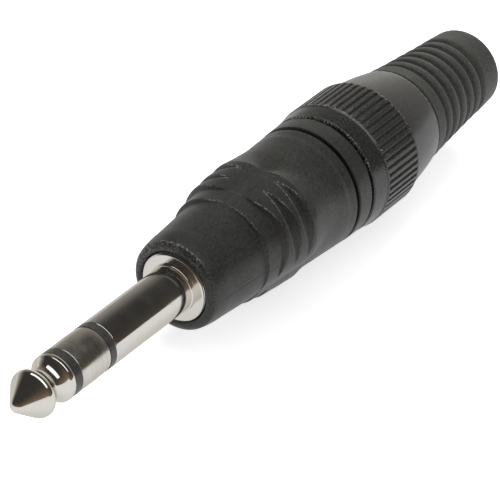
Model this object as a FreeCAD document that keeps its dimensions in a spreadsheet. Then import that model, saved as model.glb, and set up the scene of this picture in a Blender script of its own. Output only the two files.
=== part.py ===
"""A 6.35 mm three-pole jack plug with a plastic shell, a knurled back nut and a rubber boot.

The plug lies on its side, on the small flat of one grip pad and on its knurl.
Its axis runs along X with the tip towards +X, and +Z is up.
Stations along the axis are measured from the cable end of the boot, in millimetres.
"""
import FreeCAD, Part
import math
import os
import Sketcher

doc = FreeCAD.newDocument("jack_plug")

SIZES = {
    # lengths along the axis, from the cable end to the tip
    "boot_length": 19.24,
    "nut_length": 18.1,
    "reveal": 0.4,
    "marker_width": 2.91,
    "shell_length": 29.3,
    "finger_length": 31.75,
    "seam": 0.15,
    # how far a cut starts outside what it cuts
    "overcut": 1.0,
    # the finger, on which every mating jack depends
    "finger_radius": 3.175,
    "tip_length": 8.08,
    "tip_land": 0.68,
    "tip_step": 0.15,
    "neck_front": 4.25,
    "neck_arc": 1.9,
    "head_front": 3.25,
    "head_arc": 0.95,
    "nose_length": 0.5,
    "nose_radius": 0.95,
    "nose_arc": 1.15,
    "tip_insulator": 1.34,
    "ring_width": 5.57,
    "sleeve_insulator": 1.08,
    "collar_length": 0.41,
    "collar_step": 0.185,
    "edge_break": 0.12,
    "rod_radius": 1.1,
    "tube_wall": 0.45,
    "outer_wall": 0.5,
    # the flange and the body behind it
    "flange_rim": 0.59,
    "flange_thickness": 1.2,
    "stem_step": 0.8,
    "stem_length": 6.5,
    "neck_wall": 0.9,
    "sheet": 0.5,
    "lip_step": 0.5,
    "washer_thickness": 1.0,
    "washer_rim": 0.1,
    "eye_rim": 0.9,
    "rivet_rim": 0.9,
    "rivet_height": 0.7,
    "rivet_arc": 1.2,
    "eye_margin": 1.3,
    "tail_half_width": 1.2,
    "tab_root": 0.4,
    "solder_hole": 0.6,
    "hole_setback": 1.6,
    "ring_lug_rise": 0.9,
    "ring_lug_length": 6.5,
    "tip_lug_length": 7.5,
    "strap_end": 24.0,
    "strap_half_width": 1.5,
    "strap_rise": 0.65,
    "claw_rise": 0.5,
    "claw_length": 4.5,
    "claw_open": 0.6,
    # the shell
    "front_setback": 0.65,
    "front_roll": 0.5,
    "front_roll_arc": 1.6,
    "flank_arc": 14.0,
    "mouth_flare": 0.45,
    "corner": 0.15,
    "mouth_gap": 0.26,
    "front_wall": 1.1,
    "front_curve": 0.38,
    "cone_front": 3.75,
    "tail_radius": 7.0,
    "tail_wall": 1.3,
    "boss_step": 0.7,
    "rear_wall": 0.8,
    "tail_length": 13.3,
    "tail_chamfer": 0.4,
    # the three grip pads
    "pad_count": 3,
    "pad_offset": 2.1,
    "step_offset": 0.95,
    "pad_front": 10.1,
    "pad_crown": 19.4,
    "pad_rear_margin": 1.8,
    # pad radii as they differ from the shell's rear radius
    "step_foot_drop": 1.45,
    "step_front_drop": 0.93,
    "step_rear_drop": 0.75,
    "pad_front_drop": 0.14,
    "pad_rear_drop": 0.7,
    "pad_crown_rise": 0.42,
    "pad_cap_rise": 0.34,
    "first_drop": 0.75,
    "second_drop": 0.5,
    "third_drop": 0.3,
    "step_bevel": 0.35,
    "step_length": 3.0,
    "pad_arc": 150.0,
    "tooth_pitch": 2.55,
    "tooth_face": 0.8,
    "tooth_rise": 0.85,
    "tooth_arc": 3.0,
    "cap_length": 6.0,
    "pad_flat_depth": 0.06,
    "pad_flat_reach": 3.0,
    # the coding ring stands a little proud and widens towards the nut
    "marker_proud": 0.06,
    "marker_taper": 0.05,
    # running fits
    "running_gap": 0.05,
    "sliding_gap": 0.06,
    # the cable chuck
    "chuck_front": 25.5,
    "chuck_bore": 3.3,
    "chuck_collar": 2.5,
    "chuck_collar_rise": 0.7,
    "jaw_slot": 1.0,
    "jaw_slot_length": 12.0,
    "jaw_count": 3,
    "key_width": 1.6,
    "key_rise": 0.5,
    "key_length": 9.5,
    "jaw_taper": 0.8,
    "jaw_taper_length": 1.6,
    # the back nut
    "nut_front_step": 0.16,
    "knurl_rise": 0.39,
    "knurl_depth": 0.31,
    "rib_sink": 0.1,
    "knurl_front": 3.1,
    "knurl_length": 7.1,
    "knurl_count": 56,
    # a rib's half width at its foot and at its crest, as shares of half the pitch
    "rib_foot_share": 0.9,
    "rib_crest_share": 0.4,
    "knurl_lip": 0.35,
    "knurl_drop": 0.38,
    "nut_taper_arc": 60.0,
    "shoulder_depth": 13.4,
    "shoulder_thickness": 1.3,
    "shoulder_bore": 4.6,
    "pocket_radius": 6.2,
    "pocket_wall": 1.27,
    "snap": 0.3,
    "snap_front": 2.4,
    "snap_rear": 1.2,
    # the boot
    "boot_step": 0.15,
    "boot_taper": 1.6,
    "root_wall": 2.7,
    "boot_round": 1.3,
    "boot_collar": 2.74,
    "collar_roll": 0.55,
    "tail_roll": 0.9,
    "bore_chamfer": 0.4,
    "rib_pitch": 2.16,
    "rib_count": 6,
    "rib_depth": 0.52,
    "rib_round": 1.5,
}

sheet = doc.addObject("Spreadsheet::Sheet", "Sizes")
for row, (alias, number) in enumerate(SIZES.items(), start=1):
    sheet.set("A%d" % row, str(number))
    sheet.setAlias("A%d" % row, alias)
doc.recompute()


def size(alias):
    """The sheet's cell of this name, as an expression."""
    return "Sizes." + alias


def value(expression):
    """The number that an expression over the sheet gives."""
    return float(sheet.evalExpression(expression))


# Stations along the axis, each an expression over the sheet.
NUT_REAR = size("boot_length")
NUT_FACE = NUT_REAR + " + " + size("nut_length")
MARKER_REAR = NUT_FACE + " + " + size("reveal")
MARKER_FRONT = MARKER_REAR + " + " + size("marker_width")
SHELL_REAR = MARKER_FRONT + " + " + size("reveal")
SHOULDER = SHELL_REAR + " + " + size("shell_length")
TIP_END = SHOULDER + " + " + size("finger_length")
TIP_SHOULDER = TIP_END + " - " + size("tip_length")
RING_FRONT = TIP_SHOULDER + " - " + size("tip_insulator")
RING_REAR = RING_FRONT + " - " + size("ring_width")
SLEEVE_FRONT = RING_REAR + " - " + size("sleeve_insulator")
STEM_END = SHOULDER + " - " + size("stem_length")
LUG_REAR = STEM_END + " - " + size("sheet")
NECK_END = LUG_REAR + " - " + size("sheet")
RING_LUG_FRONT = NECK_END + " - " + size("washer_thickness")
RING_LUG_REAR = RING_LUG_FRONT + " - " + size("sheet")
TIP_LUG_FRONT = RING_LUG_REAR + " - " + size("washer_thickness")
TIP_LUG_REAR = TIP_LUG_FRONT + " - " + size("sheet")
RIVET_END = TIP_LUG_REAR + " - " + size("rivet_height")
TAIL_END = MARKER_FRONT + " - " + size("tail_length")
NUT_SHOULDER = MARKER_REAR + " - " + size("shoulder_depth")
POCKET_FRONT = NUT_SHOULDER + " - " + size("shoulder_thickness")

# Radii from the rod outwards, and from the thread on the shell's tail inwards and outwards.
INNER_TUBE = size("rod_radius") + " + " + size("tube_wall")
RING_TUBE = INNER_TUBE + " + " + size("tube_wall")
OUTER_TUBE = RING_TUBE + " + " + size("outer_wall")
NECK = OUTER_TUBE + " + " + size("neck_wall")
LIP = NECK + " + " + size("lip_step")
STEM = NECK + " + " + size("stem_step")
FLANGE = STEM + " + " + size("flange_rim")
MOUTH = FLANGE + " + " + size("mouth_gap")
MOUTH_FLARE = MOUTH + " + " + size("mouth_flare")
FRONT_EDGE = MOUTH + " + " + size("front_wall")
CONE_FRONT = FRONT_EDGE + " + " + size("front_curve")
EYE = RING_TUBE + " + " + size("eye_rim")
CAVITY = size("tail_radius") + " - " + size("tail_wall")
KEY_TOP = CAVITY + " + " + size("key_rise")
THREAD_BORE = size("tail_radius") + " + " + size("running_gap")
BOSS = size("tail_radius") + " + " + size("boss_step")
CONE_REAR = BOSS + " + " + size("rear_wall")
NUT_FRONT = CONE_REAR + " + " + size("nut_front_step")
KNURL = NUT_FRONT + " + " + size("knurl_rise")
NUT_END = size("pocket_radius") + " + " + size("pocket_wall")
BOOT_FRONT = NUT_END + " - " + size("boot_step")
BOOT_END = BOOT_FRONT + " - " + size("boot_taper")
BOOT_BORE = size("pocket_radius") + " - " + size("root_wall")


def behind(expression, distance):
    """A station this far behind another, towards the cable."""
    return "%s - %s" % (expression, distance)


def ahead(expression, distance):
    """A station this far ahead of another, towards the tip."""
    return "%s + %s" % (expression, distance)


def new_body(name):
    """A body labelled with its node's name and laid on the plug's axis."""
    body = doc.addObject("PartDesign::Body", name)
    body.Label = name
    body.setExpression("Placement.Base.x", "-(%s) / 2" % TIP_END)
    body.setExpression("Placement.Base.z", KNURL)
    return body


def origin_feature(body, role):
    """One of the body's own origin planes or axes."""
    return next(f for f in body.Origin.OriginFeatures if f.Role == role)


def arc_between(start, end, radius, side):
    """The arc from start to end, with its centre on the left (side 1) or right (side -1)."""
    chord = end - start
    half = chord.Length / 2
    left = FreeCAD.Vector(-chord.y, chord.x, 0).normalize()
    centre = (start + end) / 2 + left * (side * math.sqrt(max(radius ** 2 - half ** 2, 0)))
    angles = [math.atan2(p.y - centre.y, p.x - centre.x) for p in (start, end)]
    if side < 0:
        angles.reverse()
    circle = Part.Circle(centre, FreeCAD.Vector(0, 0, 1), radius)
    return Part.ArcOfCircle(circle, angles[0], angles[1])


def pin_point(sketch, geometry, position, corner):
    """Hold one corner at its two expressions, measured from the sketch's origin."""
    for kind, axis, expression in (("DistanceX", -2, corner[0]), ("DistanceY", -1, corner[1])):
        number = value(expression)
        if abs(number) < 1e-9:
            sketch.addConstraint(Sketcher.Constraint("PointOnObject", geometry, position, axis))
            continue
        index = sketch.addConstraint(
            Sketcher.Constraint(kind, -1, 1, geometry, position, number))
        sketch.setExpression("Constraints[%d]" % index, expression)


def outline(body, name, corners, plane="XZ_Plane", offset=None):
    """A closed sketch through the corners, each held at (along, out).

    A corner may carry (radius, side) as a third entry, which bends the side that leads to it.
    """
    sketch = body.newObject("Sketcher::SketchObject", name)
    sketch.AttachmentSupport = (origin_feature(body, plane), [""])
    sketch.MapMode = "FlatFace"
    if offset:
        sketch.setExpression("AttachmentOffset.Base.z", offset)
    points = [FreeCAD.Vector(value(c[0]), value(c[1]), 0) for c in corners]
    ends = []
    for number, corner in enumerate(corners):
        start, end = points[number - 1], points[number]
        if len(corner) == 2:
            index = sketch.addGeometry(Part.LineSegment(start, end))
            ends.append((index, 1, 2))
            continue
        radius, side = corner[2]
        index = sketch.addGeometry(arc_between(start, end, value(radius), side))
        ends.append((index, 1, 2) if side > 0 else (index, 2, 1))
        bend = sketch.addConstraint(Sketcher.Constraint("Radius", index, value(radius)))
        sketch.setExpression("Constraints[%d]" % bend, radius)
    for number, corner in enumerate(corners):
        index, first, last = ends[number]
        following, entry, _ = ends[(number + 1) % len(corners)]
        sketch.addConstraint(Sketcher.Constraint("Coincident", index, last, following, entry))
        pin_point(sketch, index, last, corner)
    return sketch


def revolve(body, name, corners, kind="PartDesign::Revolution"):
    """Turn a closed outline about the plug's axis: a Revolution adds, a Groove cuts."""
    sketch = outline(body, name + "_outline", corners)
    turn = body.newObject(kind, name)
    turn.Profile = sketch
    turn.ReferenceAxis = (origin_feature(body, "X_Axis"), [""])
    turn.Angle = 360
    doc.recompute()
    return turn


def slab(body, name, corners, start, length, kind="PartDesign::Pad"):
    """Push a flat outline in the YZ plane along the axis, from start towards the tip."""
    sketch = outline(body, name + "_outline", corners, "YZ_Plane", start)
    push = body.newObject(kind, name)
    push.Profile = sketch
    push.setExpression("Length", length)
    if kind == "PartDesign::Pocket":
        push.Reversed = True
    doc.recompute()
    return push


def around(body, name, feature, count):
    """Repeat a feature evenly around the plug's axis."""
    pattern = body.newObject("PartDesign::PolarPattern", name)
    pattern.Originals = [feature]
    pattern.Axis = (origin_feature(body, "X_Axis"), [""])
    pattern.Angle = 360
    pattern.setExpression("Occurrences", count)
    body.Tip = pattern
    doc.recompute()
    return pattern


def tip_contact():
    """The plug's tip with its long rod, turned in one piece and riveted behind the tip lug."""
    finger = size("finger_radius")
    rod = size("rod_radius")
    land = ahead(TIP_SHOULDER, size("tip_land"))
    under = "%s - %s" % (finger, size("tip_step"))
    body = new_body("tip_contact")
    revolve(body, "turned_tip", [
        (RIVET_END, "0"),
        (RIVET_END, rod),
        (TIP_LUG_REAR, rod + " + " + size("rivet_rim"), (size("rivet_arc"), -1)),
        (TIP_LUG_REAR, rod),
        (TIP_SHOULDER, rod),
        (TIP_SHOULDER, finger),
        (land, finger),
        (ahead(land, size("tip_step")), under),
        (behind(TIP_END, size("neck_front")), under, (size("neck_arc"), 1)),
        (behind(TIP_END, size("head_front")), under, (size("head_arc"), -1)),
        (behind(TIP_END, size("nose_length")), size("nose_radius")),
        (TIP_END, "0", (size("nose_arc"), -1)),
    ])
    return body


def insulator(name, front, rear, inner, outer, tube_end):
    """A moulded collar that shows as a dark band, with the tube that runs back inside."""
    body = new_body(name)
    revolve(body, "moulded_tube", [
        (tube_end, inner),
        (front, inner),
        (front, size("finger_radius")),
        (rear, size("finger_radius")),
        (rear, outer),
        (tube_end, outer),
    ])
    return body


def ring_contact():
    """The middle contact: a short band with a tube back to its solder lug."""
    finger = size("finger_radius")
    break_ = size("edge_break")
    tube = RING_TUBE
    bore = INNER_TUBE
    body = new_body("ring_contact")
    revolve(body, "turned_ring", [
        (RING_LUG_REAR, bore),
        (RING_FRONT, bore),
        (RING_FRONT, finger + " - " + break_),
        (RING_FRONT + " - " + break_, finger),
        (RING_REAR + " + " + break_, finger),
        (RING_REAR, finger + " - " + break_),
        (RING_REAR, tube),
        (RING_LUG_REAR, tube),
    ])
    return body


def sleeve_contact():
    """The long sleeve with its collar, flange, stem and the neck staked over the earth lug."""
    finger = size("finger_radius")
    break_ = size("edge_break")
    collar = finger + " + " + size("collar_step")
    flange_back = behind(SHOULDER, size("flange_thickness"))
    body = new_body("sleeve_contact")
    revolve(body, "turned_sleeve", [
        (NECK_END, OUTER_TUBE),
        (SLEEVE_FRONT, OUTER_TUBE),
        (SLEEVE_FRONT, finger + " - " + break_),
        (SLEEVE_FRONT + " - " + break_, finger),
        (ahead(SHOULDER, size("collar_length")), finger),
        (ahead(SHOULDER, size("collar_length")), collar + " - " + break_),
        (ahead(SHOULDER, size("collar_length")) + " - " + break_, collar),
        (SHOULDER, collar),
        (SHOULDER, FLANGE + " - 2 * " + break_),
        (behind(SHOULDER, break_), FLANGE + " - " + break_),
        (behind(SHOULDER, "2 * " + break_), FLANGE + " - " + break_),
        (behind(SHOULDER, "3 * " + break_), FLANGE),
        (flange_back, FLANGE),
        (flange_back, STEM),
        (STEM_END, STEM),
        (STEM_END, NECK),
        (LUG_REAR, NECK),
        (LUG_REAR, LIP),
        (NECK_END, LIP + " - " + break_),
    ])
    return body


def washer(name, rear, front, bore):
    """An insulating washer between two solder lugs."""
    rim = EYE + " + " + size("washer_rim")
    body = new_body(name)
    revolve(body, "punched_disc", [
        (rear, bore),
        (front, bore),
        (front, rim),
        (rear, rim),
    ])
    return body


def box_corners(low_across, high_across, low_up, high_up):
    """The four corners of a rectangle in the YZ plane."""
    return [
        (low_across, low_up),
        (high_across, low_up),
        (high_across, high_up),
        (low_across, high_up),
    ]


def solder_lug(name, front, bore, reach, length, direction):
    """A sheet eye on its contact with a drilled tail that runs back from the eye's edge."""
    rear = behind(front, size("sheet"))
    inner = "%s - %s" % (reach, size("sheet"))
    root = "%s + %s" % (bore, size("tab_root"))
    half = size("tail_half_width")
    body = new_body(name)
    revolve(body, "eye", [
        (rear, bore),
        (front, bore),
        (front, EYE),
        (rear, EYE),
    ])
    if direction == "up":
        tab = box_corners("-" + half, half, root, reach)
        tail = box_corners("-" + half, half, inner, reach)
    else:
        tab = box_corners(root, reach, "-" + half, half)
        tail = box_corners(inner, reach, "-" + half, half)
    slab(body, "tab", tab, rear, size("sheet"))
    slab(body, "tail", tail, behind(front, length), length)
    plane = "XY_Plane" if direction == "up" else "XZ_Plane"
    sketch = body.newObject("Sketcher::SketchObject", "hole_outline")
    sketch.AttachmentSupport = (origin_feature(body, plane), [""])
    sketch.MapMode = "FlatFace"
    station = ahead(behind(front, length), size("hole_setback"))
    centre = FreeCAD.Vector(value(station), 0, 0)
    circle = Part.Circle(centre, FreeCAD.Vector(0, 0, 1), value(size("solder_hole")))
    sketch.addGeometry(circle)
    sketch.addConstraint(Sketcher.Constraint("PointOnObject", 0, 3, -1))
    place = sketch.addConstraint(Sketcher.Constraint("DistanceX", -1, 1, 0, 3, centre.x))
    sketch.setExpression("Constraints[%d]" % place, station)
    bore_size = sketch.addConstraint(Sketcher.Constraint("Radius", 0, circle.Radius))
    sketch.setExpression("Constraints[%d]" % bore_size, size("solder_hole"))
    hole = body.newObject("PartDesign::Pocket", "hole")
    hole.Profile = sketch
    hole.Reversed = direction == "up"
    hole.setExpression("Length", ahead(reach, size("overcut")))
    doc.recompute()
    return body


def earth_lug():
    """The earth lug: an eye staked on the sleeve's neck, a strap and two cable claws."""
    rim = NECK + " + " + size("eye_margin")
    body = new_body("earth_lug")
    revolve(body, "eye", [
        (LUG_REAR, NECK),
        (STEM_END, NECK),
        (STEM_END, rim),
        (LUG_REAR, rim),
    ])
    strap_end = behind(SHOULDER, size("strap_end"))
    half = size("strap_half_width")
    strap_in = NECK + " + " + size("strap_rise")
    strap_out = strap_in + " + " + size("sheet")
    slab(body, "strap", box_corners("-" + half, half, "-(%s)" % strap_out, "-(%s)" % strap_in),
         strap_end, "(%s) - (%s)" % (STEM_END, strap_end))
    brim = "-" + size("claw_open")
    inner = NECK + " + " + size("claw_rise")
    outer = inner + " + " + size("sheet")
    reach_in = "sqrt((%s) ^ 2 - %s ^ 2)" % (inner, size("claw_open"))
    reach_out = "sqrt((%s) ^ 2 - %s ^ 2)" % (outer, size("claw_open"))
    slab(body, "claws", [
        ("-" + reach_in, brim),
        (reach_in, brim, (inner, 1)),
        (reach_out, brim),
        ("-" + reach_out, brim, (outer, -1)),
    ], strap_end, size("claw_length"))
    return body


def shell():
    """The moulded shell: a slim cone with three scalloped grip pads and a threaded tail."""
    front_edge = behind(SHOULDER, size("front_setback"))
    front_face = ahead(front_edge, size("front_roll"))
    flange_back = behind(SHOULDER, size("flange_thickness"))
    open_end = behind(TAIL_END, size("overcut"))
    corner = size("corner")
    body = new_body("shell")
    revolve(body, "cone", [
        (TAIL_END, "0"),
        (TAIL_END, size("tail_radius") + " - " + size("tail_chamfer")),
        (ahead(TAIL_END, size("tail_chamfer")), size("tail_radius")),
        (MARKER_FRONT, size("tail_radius")),
        (MARKER_FRONT, BOSS),
        (SHELL_REAR, BOSS),
        (SHELL_REAR, CONE_REAR + " - " + corner),
        (ahead(SHELL_REAR, corner), CONE_REAR),
        (behind(SHOULDER, size("cone_front")), CONE_FRONT),
        (front_edge, FRONT_EDGE, (size("flank_arc"), -1)),
        (front_face, MOUTH_FLARE, (size("front_roll_arc"), -1)),
        (front_face, "0"),
    ])
    grip_pads(body)
    revolve(body, "cavity", [
        (open_end, "0"),
        (front_face, "0"),
        (front_face, MOUTH_FLARE),
        (front_edge, MOUTH),
        (flange_back, MOUTH),
        (flange_back, STEM),
        (STEM_END, STEM),
        (STEM_END, CAVITY),
        (open_end, CAVITY),
    ], "PartDesign::Groove")
    half_slot = "(%s / 2 + %s)" % (size("key_width"), size("sliding_gap"))
    slab(body, "key_slot", box_corners(
        "-" + half_slot,
        half_slot,
        CAVITY + " - " + size("overcut"),
        KEY_TOP + " + " + size("sliding_gap")),
        open_end, "%s + 2 * %s" % (size("key_length"), size("overcut")), "PartDesign::Pocket")
    return body


def lobe(body, name, shift, corners):
    """Turn an outline about a line parallel to the plug's axis and this far below it."""
    sketch = outline(body, name + "_outline", corners)
    axis = sketch.addGeometry(Part.LineSegment(
        FreeCAD.Vector(0, -value(shift), 0),
        FreeCAD.Vector(value(SHOULDER), -value(shift), 0)), True)
    sketch.addConstraint(Sketcher.Constraint("Horizontal", axis))
    height = sketch.addConstraint(Sketcher.Constraint("DistanceY", -1, 1, axis, 1, -value(shift)))
    sketch.setExpression("Constraints[%d]" % height, "-" + shift)
    turn = body.newObject("PartDesign::Revolution", name)
    turn.Profile = sketch
    turn.ReferenceAxis = (sketch, ["Axis0"])
    turn.Angle = 360
    doc.recompute()
    return turn


def grip_pads(body):
    """Three pads of saw teeth, each a low step and a high lobe about axes off the plug's own.

    The teeth are cut by one ring-shaped groove about the plug's axis, while the lobes are round
    about their own axes. So each tooth's face is a crescent, tallest at the pad's middle.
    A shallow flat is cut on each pad's crown, and on one of them the plug lies without rolling.
    """
    crown = behind(SHOULDER, size("pad_crown"))
    crest = CONE_REAR + " + " + size("pad_crown_rise")
    rear = ahead(SHELL_REAR, size("pad_rear_margin"))
    first = behind(SHOULDER, size("pad_front"))
    second = behind(first, size("step_length"))
    low, high = size("step_offset"), size("pad_offset")
    step = lobe(body, "pad_step", low, [
        (second, "-" + low),
        (first, "-" + low),
        (first, "-(%s - %s)" % (CONE_REAR, size("step_foot_drop"))),
        (behind(first, size("step_bevel")), "-(%s - %s)" % (CONE_REAR, size("step_front_drop"))),
        (second, "-(%s - %s)" % (CONE_REAR, size("step_rear_drop"))),
    ])
    around(body, "pad_steps", step, size("pad_count"))
    pad = lobe(body, "pad", high, [
        (rear, "-" + high),
        (second, "-" + high),
        (second, "-(%s - %s)" % (CONE_REAR, size("pad_front_drop"))),
        (crown, "-(%s)" % crest, (size("pad_arc"), -1)),
        (rear, "-(%s - %s)" % (CONE_REAR, size("pad_rear_drop"))),
    ])
    around(body, "pads", pad, size("pad_count"))

    third = behind(second, size("tooth_pitch"))
    fourth = behind(third, size("tooth_pitch"))
    cap_end = behind(fourth, size("cap_length"))
    clear = crest + " + " + size("overcut")
    cap = CONE_REAR + " + " + size("pad_cap_rise")
    feet = [second, third, fourth]
    floors = [CONE_REAR + " - " + size(drop) for drop in ("first_drop", "second_drop", "third_drop")]
    profile = [
        (second, clear),
        (cap_end, clear),
        (cap_end, cap),
        (behind(fourth, size("tooth_face")), cap),
    ]
    for number in (2, 1):
        profile.append((feet[number], floors[number]))
        profile.append((behind(feet[number - 1], size("tooth_face")),
                        floors[number - 1] + " + " + size("tooth_rise"),
                        (size("tooth_arc"), -1)))
    profile.append((feet[0], floors[0]))
    revolve(body, "teeth", profile, "PartDesign::Groove")
    reach = size("pad_flat_reach")
    flat = slab(body, "crown_flat", box_corners(
        "-" + reach,
        reach,
        "-(%s)" % clear,
        "-(%s - %s)" % (cap, size("pad_flat_depth"))),
        cap_end, size("cap_length"), "PartDesign::Pocket")
    around(body, "crown_flats", flat, size("pad_count"))


def marker_ring():
    """The plain coding ring between the shell and the back nut."""
    rim = CONE_REAR + " + " + size("marker_proud")
    rear_rim = rim + " + " + size("marker_taper")
    break_ = size("edge_break")
    body = new_body("marker_ring")
    revolve(body, "moulded_ring", [
        (MARKER_REAR, THREAD_BORE),
        (MARKER_FRONT, THREAD_BORE),
        (MARKER_FRONT, rim + " - " + break_),
        (MARKER_FRONT + " - " + break_, rim),
        (MARKER_REAR + " + " + break_, rear_rim),
        (MARKER_REAR, rear_rim + " - " + break_),
    ])
    return body


def chuck():
    """The cable chuck: split jaws, a key that stops it turning and a collar behind the tail."""
    front = behind(SHOULDER, size("chuck_front"))
    barrel = CAVITY + " - " + size("sliding_gap")
    collar = CAVITY + " + " + size("chuck_collar_rise")
    collar_front = ahead(NUT_SHOULDER, size("chuck_collar"))
    body = new_body("cable_chuck")
    revolve(body, "barrel", [
        (NUT_SHOULDER, size("chuck_bore")),
        (front, size("chuck_bore")),
        (front, barrel + " - " + size("jaw_taper")),
        (behind(front, size("jaw_taper_length")), barrel),
        (collar_front, barrel),
        (collar_front, collar),
        (NUT_SHOULDER, collar),
    ])
    slab(body, "key", box_corners(
        "-%s / 2" % size("key_width"),
        "%s / 2" % size("key_width"),
        size("chuck_bore") + " + " + size("overcut"),
        KEY_TOP),
        collar_front, size("key_length"))
    slot = slab(body, "jaw_slot", box_corners(
        size("chuck_bore") + " - " + size("overcut"),
        CAVITY + " + " + size("overcut"),
        "-%s / 2" % size("jaw_slot"),
        "%s / 2" % size("jaw_slot")),
        behind(front, size("jaw_slot_length")),
        size("jaw_slot_length") + " + " + size("overcut"), "PartDesign::Pocket")
    around(body, "jaw_slots", slot, size("jaw_count"))
    return body


def back_nut():
    """The knurled nut that closes the shell: threaded bore, inner shoulder and boot pocket."""
    knurl_front = behind(NUT_FACE, size("knurl_front"))
    knurl_rear = behind(knurl_front, size("knurl_length"))
    lip = size("knurl_lip")
    root = KNURL + " - " + size("knurl_depth")
    foot = root + " - " + size("rib_sink")
    corner = size("corner")
    body = new_body("back_nut")
    revolve(body, "turned_nut", [
        (NUT_REAR, size("pocket_radius")),
        *snap_ring(),
        (POCKET_FRONT, size("pocket_radius")),
        (POCKET_FRONT, size("shoulder_bore")),
        (NUT_SHOULDER, size("shoulder_bore")),
        (NUT_SHOULDER, THREAD_BORE),
        (MARKER_REAR, THREAD_BORE),
        (MARKER_REAR, BOSS),
        (NUT_FACE, BOSS),
        (NUT_FACE, NUT_FRONT + " - " + corner),
        (behind(NUT_FACE, corner), NUT_FRONT),
        (ahead(knurl_front, lip), KNURL + " - " + size("seam")),
        (knurl_front, KNURL),
        (knurl_front, root),
        (knurl_rear, root),
        (knurl_rear, KNURL),
        (behind(knurl_rear, lip), KNURL + " - " + size("knurl_drop")),
        (ahead(NUT_REAR, corner), NUT_END, (size("nut_taper_arc"), 1)),
        (NUT_REAR, NUT_END + " - " + corner),
    ])
    rib_corners = []
    for radius, side, share in ((foot, -1, "rib_foot_share"), (KNURL, -1, "rib_crest_share"),
                                (KNURL, 1, "rib_crest_share"), (foot, 1, "rib_foot_share")):
        bearing = "((1 + %d * %s) * 180 / %s) * 1 deg" % (side, size(share), size("knurl_count"))
        rib_corners.append(("(%s) * sin(%s)" % (radius, bearing),
                            "-(%s) * cos(%s)" % (radius, bearing)))
    rib = slab(body, "knurl_rib", rib_corners, knurl_rear, size("knurl_length"))
    around(body, "knurl", rib, size("knurl_count"))
    return body


def snap_ring():
    """The corners of the undercut in the nut's pocket, which the boot's bead fills."""
    deep = size("pocket_radius") + " + " + size("snap")
    rear = ahead(NUT_REAR, size("snap_rear"))
    front = ahead(NUT_REAR, size("snap_front"))
    return [
        (rear, size("pocket_radius")),
        (ahead(rear, size("snap")), deep),
        (front, deep),
        (front, size("pocket_radius")),
    ]


def boot():
    """The rubber boot: a snap-in root, a plain collar, ribs with rounded crests and a bore."""
    collar_face = behind(NUT_REAR, size("seam"))
    slope = "%s / (%s)" % (size("boot_taper"), collar_face)

    def skin(station):
        """The boot's outer radius at a station, on its straight taper."""
        return "%s + %s * (%s)" % (BOOT_END, slope, station)

    def valley(station):
        """The floor of a rib's groove at a station."""
        return "%s - %s" % (skin(station), size("rib_depth"))

    first = behind(collar_face, size("boot_collar"))
    corners = [
        ("0", BOOT_BORE + " + " + size("bore_chamfer")),
        (size("bore_chamfer"), BOOT_BORE),
        (POCKET_FRONT, BOOT_BORE),
        (POCKET_FRONT, size("pocket_radius")),
        *reversed(snap_ring()),
        (collar_face, size("pocket_radius")),
        (collar_face, BOOT_FRONT + " - " + size("edge_break")),
        (behind(collar_face, size("edge_break")), BOOT_FRONT),
        (ahead(first, size("collar_roll")), skin(ahead(first, size("collar_roll")))),
    ]
    count = int(SIZES["rib_count"])
    for number in range(count):
        station = behind(first, "%d * %s" % (number, size("rib_pitch")))
        bend = () if number == 0 else ((size("rib_round"), 1),)
        corners.append((station, valley(station)) + bend)
    last = behind(first, "%d * %s" % (count - 1, size("rib_pitch")))
    corners += [
        (behind(last, size("tail_roll")), skin(behind(last, size("tail_roll")))),
        (size("boot_round"), skin(size("boot_round"))),
        ("0", BOOT_END + " - " + size("boot_round"),
         (size("boot_round"), 1)),
    ]
    body = new_body("boot")
    revolve(body, "moulded_boot", corners)
    return body


PIECES = [
    tip_contact(),
    insulator("tip_insulator", TIP_SHOULDER, RING_FRONT, size("rod_radius"),
              INNER_TUBE, TIP_LUG_FRONT),
    ring_contact(),
    insulator("sleeve_insulator", RING_REAR, SLEEVE_FRONT, RING_TUBE, OUTER_TUBE,
              RING_LUG_FRONT),
    sleeve_contact(),
    earth_lug(),
    washer("ring_lug_washer", RING_LUG_FRONT, NECK_END, OUTER_TUBE),
    solder_lug("ring_lug", RING_LUG_FRONT, RING_TUBE, EYE + " + " + size("ring_lug_rise"),
               size("ring_lug_length"), "side"),
    washer("tip_lug_washer", TIP_LUG_FRONT, RING_LUG_REAR, INNER_TUBE),
    solder_lug("tip_lug", TIP_LUG_FRONT, size("rod_radius"), EYE, size("tip_lug_length"), "up"),
    shell(),
    marker_ring(),
    chuck(),
    back_nut(),
    boot(),
]

doc.recompute()
for item in doc.Objects:
    if "Invalid" in item.State or "Error" in item.State:
        raise RuntimeError("%s failed: %s" % (item.Name, item.State))
for body in PIECES:
    if body.Shape.isNull() or not body.Shape.isValid() or len(body.Shape.Solids) != 1:
        raise RuntimeError("%s has no single valid solid" % body.Label)

os.makedirs("parts", exist_ok=True)
for body in PIECES:
    body.Shape.exportStep("parts/%s.step" % body.Label)
    print(body.Label, round(body.Shape.Volume, 1), "mm3")
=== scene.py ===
"""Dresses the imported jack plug: finer surfaces, finishes, studio light and the photo's camera."""
import math
import bpy
import numpy as np
from mathutils import Matrix, Vector


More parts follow.
